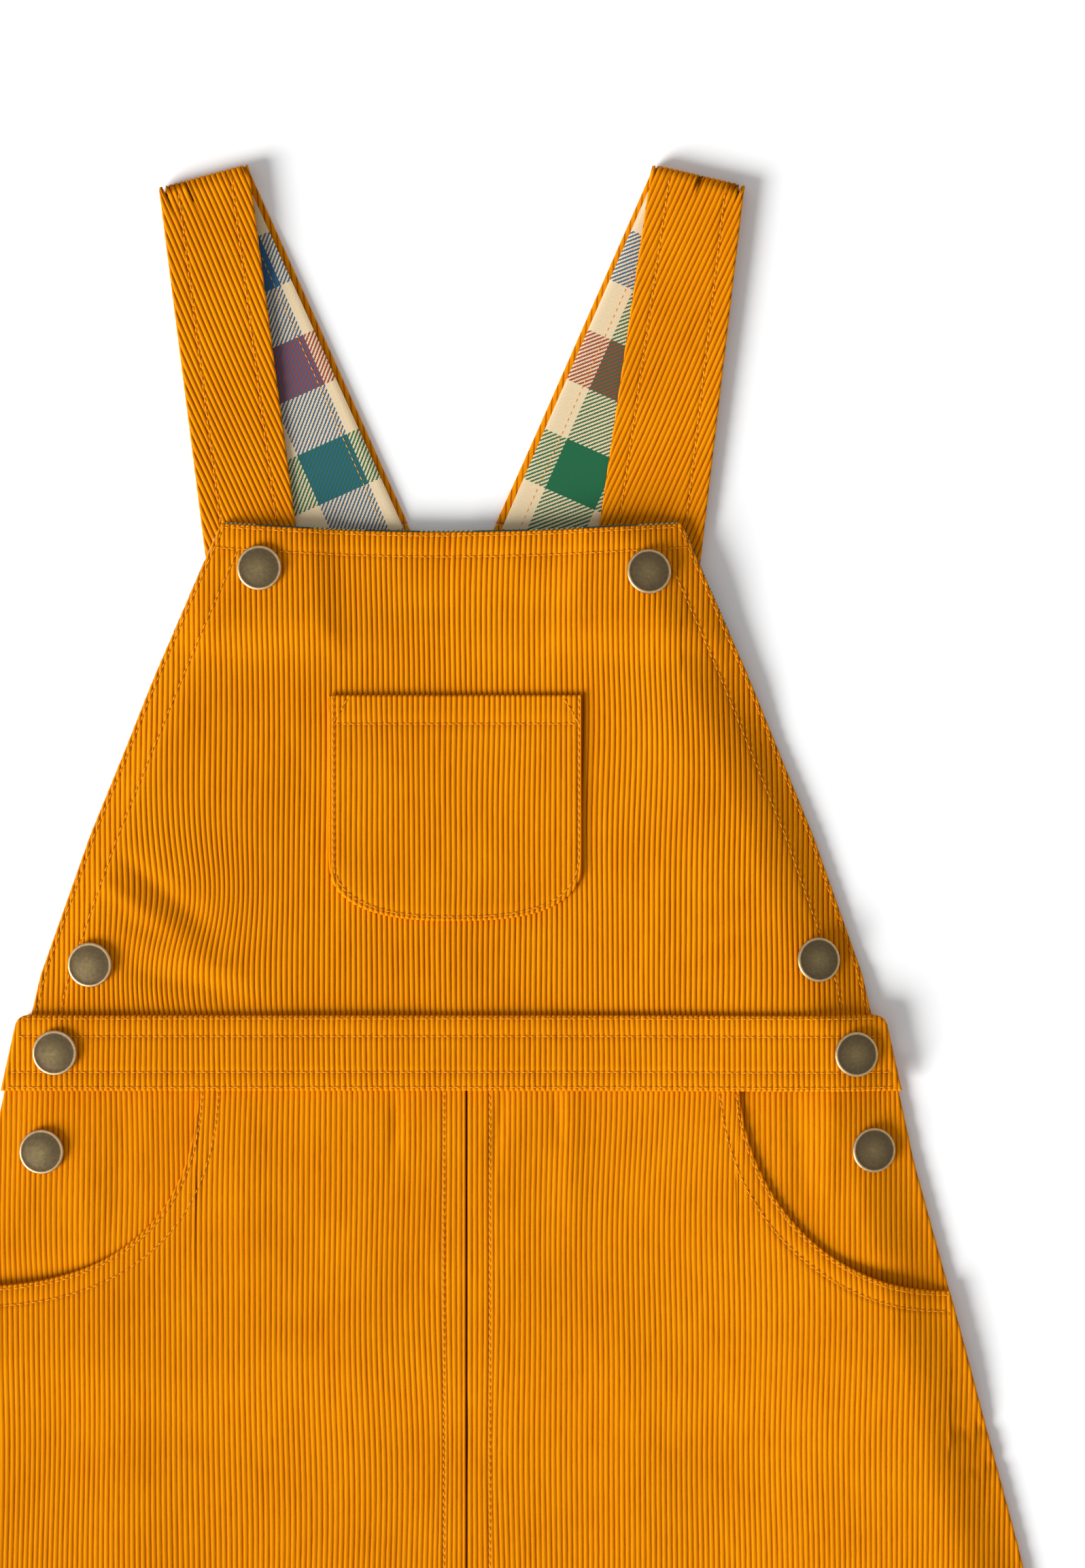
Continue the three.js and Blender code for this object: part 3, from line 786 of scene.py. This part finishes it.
def pocket_line(inset):
    c, h = POCKET["centre"], POCKET["half"]
    xs = c + (h - inset) * -np.cos(np.linspace(0, math.pi, 60))
    scale = h / (h - inset)
    lower = [(x, pocket_lower(c + (x - c) * scale) + inset) for x in xs]
    top = POCKET["top"] - 0.8
    return [(c - h + inset, top), *lower, (c + h - inset, top)]


def offset_line(points, inset):
    """A line moved to its left by inset."""
    points = np.array(points, float)
    way = np.gradient(points, axis=0)
    way /= np.maximum(np.hypot(*way.T)[:, None], 1e-9)
    return points + inset * np.stack([-way[:, 1], way[:, 0]], 1)


def scoop_line(sign, inset):
    x, y = scoop_curve(sign)
    moved = offset_line(np.stack([sign * x, y], 1), -inset * sign)
    keep = (np.abs(moved[:, 0]) < half_at(SKIRT_SIDE, moved[:, 1]) - 1) & (moved[:, 1] < BAND_BOTTOM)
    return moved[keep]


def hem_line(sign, inset):
    xs = np.linspace(CENTRE_SEAM + 1.5 * sign, sign * (HEM_HALF - 7), 60)
    return np.stack([xs, hem_y(xs) + inset], 1)


BIB_SEAMS = [
    bib_top_line(1.4),
    bib_top_line(8.5),
    *bib_side_lines(9, 8.5),
    *bib_side_lines(1.4, 1.4),
]
BAND_LINES = [BAND_TOP - 1.3, BAND_TOP - 7.3, BAND_BOTTOM + 6.4, BAND_BOTTOM + 1.3]
BAND_SEAMS = [level_line(y, float(band_half(y)) - 2) for y in BAND_LINES]


def pocket_seams():
    """The edge, the hem, and a slanted row that strengthens each top corner."""
    c, h, top = POCKET["centre"], POCKET["half"], POCKET["top"]
    hem = [(c - h + 2, top - 9.9), (c + h - 2, top - 9.9)]
    left = [(c - h + 1.5, top - 9.5), (c - h + 6.5, top - 1.2)]
    right = [(c + h - 1.5, top - 9.5), (c + h - 6.5, top - 1.2)]
    return [pocket_line(1.5), hem, left, right]


def skirt_seams(sign):
    """Two rows round the scoop, the hem, and one beside the centre seam."""
    beside = CENTRE_SEAM + sign * 7.8
    centre = [(beside, hem_y(0) + 1), (beside, BAND_BOTTOM)]
    return [scoop_line(sign, 1.5), scoop_line(sign, 7.0), hem_line(sign, 22.0), centre]


POCKET_SEAMS = pocket_seams()
SKIRT_SEAMS = {sign: skirt_seams(sign) for sign in SIDES}


def stitch_places(lines, pitch):
    """The middle of each stitch along the lines, and which way it runs."""
    centres, ways = [], []
    for line in lines:
        line = np.array(line, float)
        gaps = np.hypot(*np.diff(line, axis=0).T)
        place = np.concatenate([[0], np.cumsum(gaps)])
        at = np.arange(pitch / 2, place[-1], pitch)
        x, y = (np.interp(at, place, line[:, k]) for k in (0, 1))
        ahead = [np.interp(at + 0.1, place, line[:, k]) for k in (0, 1)]
        behind = [np.interp(at - 0.1, place, line[:, k]) for k in (0, 1)]
        way = np.stack([ahead[0] - behind[0], ahead[1] - behind[1]], 1)
        centres.append(np.stack([x, y], 1))
        ways.append(way / np.maximum(np.hypot(*way.T)[:, None], 1e-9))
    return np.concatenate(centres), np.concatenate(ways)


def stitches(name, lines, top, pitch=2.4, length=1.9, radius=0.17):
    """Lockstitches along the lines, as one joined mesh. Each arches out of the cloth."""
    sides, rings = 5, 4
    centres, ways = stitch_places(lines, pitch)
    side = np.stack([-ways[:, 1], ways[:, 0]], 1)
    u = np.linspace(-1, 1, rings)
    thick = radius * np.sqrt(np.clip(1 - np.abs(u) ** 3, 0.08, 1))
    spine = centres[:, None] + ways[:, None] * (u * length / 2)[:, None]
    height = top(spine[..., 0].ravel(), spine[..., 1].ravel()).reshape(spine.shape[:2])
    height = height - 0.16 + 0.2 * (1 - u**2)
    angle = np.arange(sides) * math.tau / sides
    out, up = thick[:, None] * np.cos(angle), thick[:, None] * np.sin(angle)
    plan = spine[:, :, None] + side[:, None, None] * out[None, :, :, None]
    points = np.concatenate([plan, (height[:, :, None] + up)[..., None]], -1)
    count = len(centres)
    index = np.arange(count * rings * sides).reshape(count, rings, sides)
    nxt = np.roll(index, -1, 2)
    quads = np.stack([index[:, :-1], index[:, 1:], nxt[:, 1:], nxt[:, :-1]], -1)
    faces = quads.reshape(-1, 4).tolist() + index[:, 0].tolist() + index[:, -1, ::-1].tolist()
    along = np.tile(np.repeat(u * length / 2, sides), count)
    around = np.tile(angle, count * rings) * radius
    vertices = (points.reshape(-1, 3) - np.array([0, LENGTH / 2, 0])) * MM
    piece = mesh_object(name, vertices, faces, THREAD_CLOTH, np.stack([along, around], 1))
    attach(piece, "root")


# --- pieces -------------------------------------------------------------------------------------


def line_over_x(y, low, high):
    return np.array([low, high]), np.array([y, y], float)


def level_with(height):
    """A flat edge or face."""
    return lambda x, y=None: height + 0 * x


def bib_top_edge(rise=0.0):
    return lambda x: BIB_TOP + rise - BIB_SAG * (1 - (x / BIB_TOP_HALF) ** 2)


def waver(scale, seed, amount):
    """Wales that run a little unevenly."""
    return lambda s, y: amount * rolling(s, y, scale, seed)


def bib_drift(s, y):
    """The bib's wales, pulled aside by the snap on the left."""
    pull = np.exp(-(((s + 92) / 22) ** 2) - ((y - 338) / 22) ** 2)
    return waver(80, 11, 1.2)(s, y) + 6 * pull * (y - 338) / 22


def make_bib():
    halves, ys = side_edge(BIB_SIDE, BAND_TOP - TUCK, BIB_TOP)
    top = symmetric_top(halves, ys, bib_top_edge())
    low = line_over_x(BAND_TOP - TUCK, -halves[0], halves[0])
    finish_cloth(
        Cloth("front_bib", top, low, bib_top, CORDUROY, CORDUROY_CLOTH, rows=44,
              drift=bib_drift, seams=BIB_SEAMS,
              upper_stations=(0, 0.08, 0.3, 0.7, 1.1, 1.4, 1.7, 2.6, 5, 7.6, 8.2, 8.6, 9.0, 9.8)),
    )
    stitches("stitches_bib", BIB_SEAMS, bib_top)


def make_bib_lining():
    halves, ys = side_edge(BIB_SIDE, TOP_LINING_BOTTOM, BIB_TOP - 0.4, inset=-0.2)
    top = symmetric_top(halves, ys, bib_top_edge(0.5))
    low = line_over_x(TOP_LINING_BOTTOM, -halves[0], halves[0])
    finish_cloth(
        Cloth("front_bib_lining", top, low, lambda x, y: bib_top(x, y) - LAYER + 0.1, FLANNEL,
              LINING_CLOTH[-1], wales=False, step=LINING_STEP, rows=14),
    )


def make_pocket():
    c, h = POCKET["centre"], POCKET["half"]
    xs = c - h * np.cos(np.linspace(0, math.pi, 160))
    finish_cloth(
        Cloth("bib_pocket", line_over_x(POCKET["top"], c - h, c + h), (xs, pocket_lower(xs)), pocket_top,
              CORDUROY, CORDUROY_CLOTH, rows=22, drift=waver(60, 13, 0.8), seams=POCKET_SEAMS,
              origin=0.7,
              upper_stations=(0, 0.08, 0.3, 0.7, 1.2, 2.4, 5, 8.8, 9.5, 9.9, 10.3, 11.2),
              lower_stations=(0, 0.08, 0.3, 0.7, 1.1, 1.5, 1.9, 3)),
    )
    stitches("stitches_pocket", POCKET_SEAMS, pocket_top)


def make_bands():
    ys = np.linspace(BAND_BOTTOM, BAND_TOP, 60)
    halves = band_half(ys)
    top = symmetric_top(halves, ys, level_with(BAND_TOP))
    low = line_over_x(BAND_BOTTOM, -halves[0], halves[0])
    finish_cloth(
        Cloth("front_waistband", top, low, band_top, BAND, CORDUROY_CLOTH, rows=6, drift=waver(50, 17, 0.6),
              seams=BAND_SEAMS, origin=0.4,
              upper_stations=(0, 0.1, 0.4, 0.8, 1.3, 1.8, 2.6, 6.4, 7.0, 7.3, 7.6, 8.2),
              lower_stations=(0, 0.1, 0.4, 0.8, 1.3, 1.8, 2.6, 5.6, 6.1, 6.4, 6.7, 7.4)),
    )
    stitches("stitches_waistband", BAND_SEAMS, band_top)
    halves = halves - 1
    top = symmetric_top(halves, ys, level_with(BAND_TOP))
    low = line_over_x(BAND_BOTTOM, -halves[0], halves[0])
    finish_cloth(
        Cloth("back_waistband", top, low, level_with(CORDUROY), CORDUROY, CORDUROY_CLOTH, rows=4,
              step=BACK_STEP, face_down=True),
    )


def make_skirt(sign):
    scoop_x, scoop_y = scoop_curve(sign)
    halves, ys = side_edge(SKIRT_SIDE, HEM_RISE, SCOOPS[sign]["bottom"])
    edge_x = np.concatenate([[CENTRE_SEAM * sign + SEAM / 6], scoop_x, halves[::-1]])
    edge_y = np.concatenate([[SKIRT_TOP], scoop_y, ys[::-1]])
    edge_x[1] = max(edge_x[1], edge_x[0] + 1)
    upper = envelope(np.stack([sign * edge_x, edge_y], 1))
    xs = np.linspace(edge_x[0], HEM_HALF - 1, 120)
    lower = envelope(np.stack([sign * xs, hem_y(xs)], 1))
    name = f"front_skirt_{SIDES[sign]}"
    finish_cloth(
        Cloth(name, upper, lower, skirt_top, CORDUROY, CORDUROY_CLOTH, rows=46,
              drift=waver(110, 19 + sign, 2.2), seams=SKIRT_SEAMS[sign], origin=CENTRE_SEAM, split=206,
              upper_stations=(0, 0.08, 0.3, 0.7, 1.1, 1.5, 1.9, 3, 5.8, 6.6, 7.0, 7.4, 8.2),
              lower_stations=(0, 0.08, 0.3, 0.7, 1.2, 2.4, 20.8, 21.6, 22, 22.4, 23.2)),
    )
    stitches(f"stitches_skirt_{SIDES[sign]}", SKIRT_SEAMS[sign], skirt_top)


def make_facing(sign):
    name = f"hip_facing_{SIDES[sign]}"
    halves, ys = side_edge(SKIRT_SIDE, FACING_BOTTOM, SKIRT_TOP)
    inner = SCOOPS[sign]["inner"] - FACING_LAP
    upper = envelope([(sign * inner, SKIRT_TOP), *[(sign * h, y) for h, y in zip(halves, ys)]])
    lower = line_over_x(FACING_BOTTOM, *sorted((sign * inner, sign * halves[0])))
    finish_cloth(
        Cloth(name, upper, lower, facing_top, CORDUROY, CORDUROY_CLOTH, rows=30,
              drift=waver(60, 29, 1.6), origin=0.9),
    )


def make_backs():
    halves, ys = side_edge(SKIRT_SIDE, HEM_RISE, BAND_BOTTOM - SEAM, inset=0.5)
    top = symmetric_top(halves, ys, level_with(BAND_BOTTOM - SEAM))
    xs = np.linspace(-halves[0], halves[0], 120)
    finish_cloth(
        Cloth("back_skirt", top, (xs, hem_y(xs)), level_with(CORDUROY), CORDUROY, CORDUROY_CLOTH,
              rows=24, step=BACK_STEP, drift=waver(110, 37, 2.0), face_down=True),
    )
    bib_end = STRAP_BACK_INNER[0][1] - SEAM
    halves, ys = side_edge(BACK_BIB_SIDE, BAND_TOP + SEAM, bib_end)
    top = symmetric_top(halves, ys, level_with(bib_end))
    low = line_over_x(BAND_TOP + SEAM, -halves[0], halves[0])
    finish_cloth(
        Cloth("back_bib", top, low, level_with(CORDUROY), CORDUROY, CORDUROY_CLOTH, rows=20,
              step=BACK_STEP, drift=waver(90, 41, 1.4), face_down=True),
    )


STRAP_GRAIN, LINING_GRAIN = 24.0, 23.9  # degrees from the y axis, leaning outwards
STRAP_FRONT = 150.0  # from the fold to the end under the bib
FOLD_MIDDLE = FOLD_RADIUS - CORDUROY / 2
FOLD_LENGTH = math.pi * FOLD_MIDDLE


class StrapShape:
    """A strap's plan before it is folded over at the shoulder, and the fold itself."""

    def __init__(self, sign):
        self.sign = sign
        fold_inner, fold_outer = (self.point(p) for p in STRAPS[sign]["fold"])
        end_inner, end_outer = (self.point(p) for p in STRAPS[sign]["end"])
        along = fold_inner - fold_outer
        along = along / np.hypot(*along)
        over = np.array([along[1], -along[0]])
        self.over = over if over[1] > 0 else -over
        self.seat = fold_inner - self.over * FOLD_RADIUS
        fold_outer = fold_outer - self.over * FOLD_RADIUS
        inner = [self.point(p) for p in STRAP_BACK_INNER[2:]] + [self.seat]
        outer = [self.point(p) for p in STRAP_BACK_OUTER[2:]] + [fold_outer]
        self.back_inner, self.back_outer = np.array(inner), np.array(outer)
        self.inner = np.array([end_inner, self.seat] + [self.unfold(p) for p in inner[::-1]])
        self.outer = np.array([end_outer, fold_outer] + [self.unfold(p) for p in outer[::-1]])

    def point(self, p):
        return np.array([self.sign * p[0], p[1]])

    def unfold(self, p):
        """Where a point of the back lies when the strap is opened out flat."""
        return p + self.over * (2 * np.dot(self.seat - p, self.over) + FOLD_LENGTH)

    def curve(self, plan, height):
        """Plan points of the unfolded strap, with their lift over the cloth's middle, in space."""
        e = (plan - self.seat) @ self.over
        base = plan - e[:, None] * self.over
        angle = np.clip(e / FOLD_MIDDLE, 0, math.pi)
        flat_after = np.clip(e - FOLD_LENGTH, 0, None)
        reach = (FOLD_MIDDLE + height) * np.sin(angle) + np.minimum(e, 0) - flat_after
        lower = 2 * FOLD_RADIUS - CORDUROY
        down = np.clip(-e / STRAP_FRONT, 0, 1)
        drop = (lower - LAYER - LINING_LAYER) * ease(0, 0.8, down)
        z = FOLD_RADIUS + (FOLD_MIDDLE + height) * np.cos(angle) - drop * (e < 0)
        place = base + reach[:, None] * self.over
        return np.stack([place[:, 0], place[:, 1], z], 1)


def chains(points, steps=500):
    """Lower and upper edges, over the first coordinate, of a closed outline."""
    points = np.array(points)
    a, b = points, np.roll(points, -1, 0)
    even = np.linspace(points[:, 0].min(), points[:, 0].max(), steps)
    s = np.unique(np.concatenate([points[:, 0], even]))
    run = np.where(np.abs(b[:, 0] - a[:, 0]) < 1e-9, 1e-9, b[:, 0] - a[:, 0])
    t = (s[:, None] - a[:, 0]) / run
    ys = np.where((t >= -1e-6) & (t <= 1 + 1e-6), a[:, 1] + t * (b[:, 1] - a[:, 1]), np.nan)
    return (s, np.nanmin(ys, 1)), (s, np.nanmax(ys, 1))


def to_grain(points, turn):
    """Plan points in the axes of a grain turned by some degrees."""
    c, s = math.cos(math.radians(turn)), math.sin(math.radians(turn))
    return np.array(points) @ np.array([[c, -s], [s, c]])


def make_strap(sign):
    shape = StrapShape(sign)
    name = f"strap_{SIDES[sign]}"
    turn = -sign * STRAP_GRAIN
    outline = np.concatenate([shape.inner, shape.outer[::-1]])
    lower, upper = chains(to_grain(outline, turn))
    inset = sign * STRAP_SEAM
    seams = [offset_line(shape.inner[:2], -inset), offset_line(shape.outer[:2], inset)]
    finish_cloth(
        Cloth(name, upper, lower, level_with(CORDUROY / 2), CORDUROY, CORDUROY_CLOTH,
              turn=turn, rows=90, drift=waver(80, 43 + sign, 0.8), seams=seams, curve=shape.curve),
    )

    make_yoke(sign)

    def front_top(x, y):
        return shape.curve(np.stack([x, y], 1), np.full(len(x), CORDUROY / 2))[:, 2]

    stitches(f"stitches_strap_{SIDES[sign]}", seams, front_top)


def make_yoke(sign):
    """The wide foot of the strap's back, where its grain runs straight."""
    outline = np.array(STRAP_BACK_INNER[:3] + STRAP_BACK_OUTER[2::-1]) * (sign, 1) - (0, SEAM)
    lower, upper = chains(outline)
    name = SIDES[sign]
    piece = Cloth(f"strap_yoke_{name}", upper, lower, level_with(CORDUROY), CORDUROY,
                  CORDUROY_CLOTH, rows=12, step=BACK_STEP, face_down=True)
    finish_cloth(piece, node=f"strap_{name}")


def make_strap_lining(sign):
    shape = StrapShape(sign)
    inset = np.array([sign * LINING_INSET, 0])
    yoke = [np.array(edge[:2]) * (sign, 1) for edge in (STRAP_BACK_INNER, STRAP_BACK_OUTER)]
    inner = np.concatenate([yoke[0], shape.back_inner]) + inset
    outer = np.concatenate([yoke[1], shape.back_outer]) - inset
    outline = np.concatenate([inner, outer[::-1]])
    turn = -sign * LINING_GRAIN
    lower, upper = chains(to_grain(outline, turn))
    face = level_with(LAYER + FLANNEL)
    finish_cloth(
        Cloth(f"strap_lining_{SIDES[sign]}", upper, lower, face, FLANNEL, LINING_CLOTH[sign],
              wales=False, step=LINING_STEP, rows=60, turn=turn),
    )
    line = offset_line(inner, -sign * STRAP_SEAM)[1:]
    stitches(f"stitches_lining_{SIDES[sign]}", [line], face)


SNAPS = {
    "bib_left": (-64.8, 462.4, bib_top), "bib_right": (66.7, 461.0, bib_top),
    "side_left": (-122.3, 328.2, bib_top), "side_right": (124.1, 329.9, bib_top),
    "waist_left": (-133.9, 298.6, band_top), "waist_right": (136.7, 298.1, band_top),
    "hip_left": (-138.9, 264.8, facing_top), "hip_right": (143.0, 265.4, facing_top),
}
# A cap's profile from the middle of its foot out, round the rim and in to the middle of its face
CAP = (
    (0, 0), (CAP_REACH, 0), (7.4, 0.2), (CAP_RADIUS, 0.6), (7.55, 1.0), (7.3, 1.3), (6.95, 1.4),
    (6.6, 1.3), (6.3, 1.28), (5.0, 1.46), (3.0, 1.68), (1.2, 1.79), (0, 1.8),
)


def seat_on(x, y, top):
    """Slopes of a panel under a cap, and the height at which the cap just clears it all round."""

    def at(px, py):
        return float(top(np.array([px]), np.array([py]))[0])

    slope_x = (at(x + CAP_REACH, y) - at(x - CAP_REACH, y)) / (2 * CAP_REACH)
    slope_y = (at(x, y + CAP_REACH) - at(x, y - CAP_REACH)) / (2 * CAP_REACH)
    seat = at(x, y)
    for radius in (CAP_REACH / 2, CAP_REACH):
        for angle in np.arange(12) * math.tau / 12:
            dx, dy = radius * math.cos(angle), radius * math.sin(angle)
            seat = max(seat, at(x + dx, y + dy) - slope_x * dx - slope_y * dy)
    return slope_x, slope_y, seat + SEAM


def make_snap(name, x, y, top, sides=64):
    """A press snap's cap, tilted as the cloth under it."""
    slope_x, slope_y, seat = seat_on(x, y, top)
    normal = np.array([-slope_x, -slope_y, 1.0]) / math.hypot(slope_x, slope_y, 1.0)
    across = np.array([1.0, 0, slope_x]) / math.hypot(1, slope_x)
    other = np.cross(normal, across)
    angle = np.arange(sides) * math.tau / sides
    rings = [np.zeros((1, 3)) + normal * CAP[0][1]]
    for radius, height in CAP[1:-1]:
        spread = np.cos(angle)[:, None] * across + np.sin(angle)[:, None] * other
        rings.append(radius * spread + height * normal)
    rings.append(normal[None] * CAP[-1][1])
    points = np.concatenate(rings) + np.array([x, y - LENGTH / 2, seat])
    index = 1 + np.arange((len(CAP) - 2) * sides).reshape(-1, sides)
    nxt = np.roll(index, -1, 1)
    last = 1 + index.size
    faces = np.stack([index[:-1], nxt[:-1], nxt[1:], index[1:]], -1).reshape(-1, 4).tolist()
    faces += [[0, b, a] for a, b in zip(index[0], nxt[0])]
    faces += [[last, a, b] for a, b in zip(index[-1], nxt[-1])]
    radii = np.concatenate([[0], np.repeat([r for r, _ in CAP[1:-1]], sides), [0]])
    turns = np.concatenate([[0], np.tile(angle, len(CAP) - 2), [0]])
    piece = mesh_object(f"cap_{name}", points * MM, faces, BRASS, np.stack([radii, turns], 1))
    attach(piece, "root")
    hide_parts(f"snap_{name}")


# --- floor, light and camera --------------------------------------------------------------------


FLOOR_HALF = 1.6
FILL, KEY, KEY_SIZE = 0.45, 5.6, 32  # strengths, and the key's breadth in degrees
KEY_ELEVATION, KEY_AZIMUTH = 25, 216
LENS, SENSOR = 85, 36
CAMERA_X, CAMERA_Y, CAMERA_AIM, FRAME_HEIGHT = 0.0309, 0.0894, 0.004, 0.5322  # metres


def make_floor():
    h = FLOOR_HALF
    corners = np.array([(-h, -h, 0), (h, -h, 0), (h, h, 0), (-h, h, 0)])
    floor = mesh_object("floor", corners, [[0, 1, 2, 3]], floor_material(), smooth=False)


def make_lights():
    world = bpy.data.worlds.new("studio")
    world.use_nodes = True
    background = world.node_tree.nodes["Background"]
    background.inputs["Color"].default_value = (1, 1, 1, 1)
    background.inputs["Strength"].default_value = FILL
    bpy.context.scene.world = world
    sun = bpy.data.lights.new("key", "SUN")
    sun.energy = KEY
    sun.angle = math.radians(KEY_SIZE)
    lamp = bpy.data.objects.new("key", sun)
    bpy.context.collection.objects.link(lamp)
    elevation, azimuth = math.radians(KEY_ELEVATION), math.radians(KEY_AZIMUTH)
    level = math.cos(elevation)
    way = Vector((level * math.cos(azimuth), level * math.sin(azimuth), math.sin(elevation)))
    lamp.rotation_euler = way.to_track_quat("Z", "Y").to_euler()


def make_camera():
    camera = bpy.data.cameras.new("camera")
    camera.lens = LENS
    camera.sensor_fit = "VERTICAL"
    camera.sensor_height = SENSOR
    camera.dof.use_dof = False
    view = bpy.data.objects.new("camera", camera)
    bpy.context.collection.objects.link(view)
    view.location = (CAMERA_X, CAMERA_Y, CAMERA_AIM + FRAME_HEIGHT * LENS / SENSOR)
    bpy.context.scene.camera = view
    bpy.context.scene.view_settings.view_transform = "Standard"


make_floor()
make_backs()
make_bands()
make_bib()
make_bib_lining()
make_pocket()
for side in SIDES:
    make_skirt(side)
    make_facing(side)
    make_strap(side)
    make_strap_lining(side)
for label, (cap_x, cap_y, panel_top) in SNAPS.items():
    make_snap(label, cap_x, cap_y, panel_top)
make_lights()
make_camera()
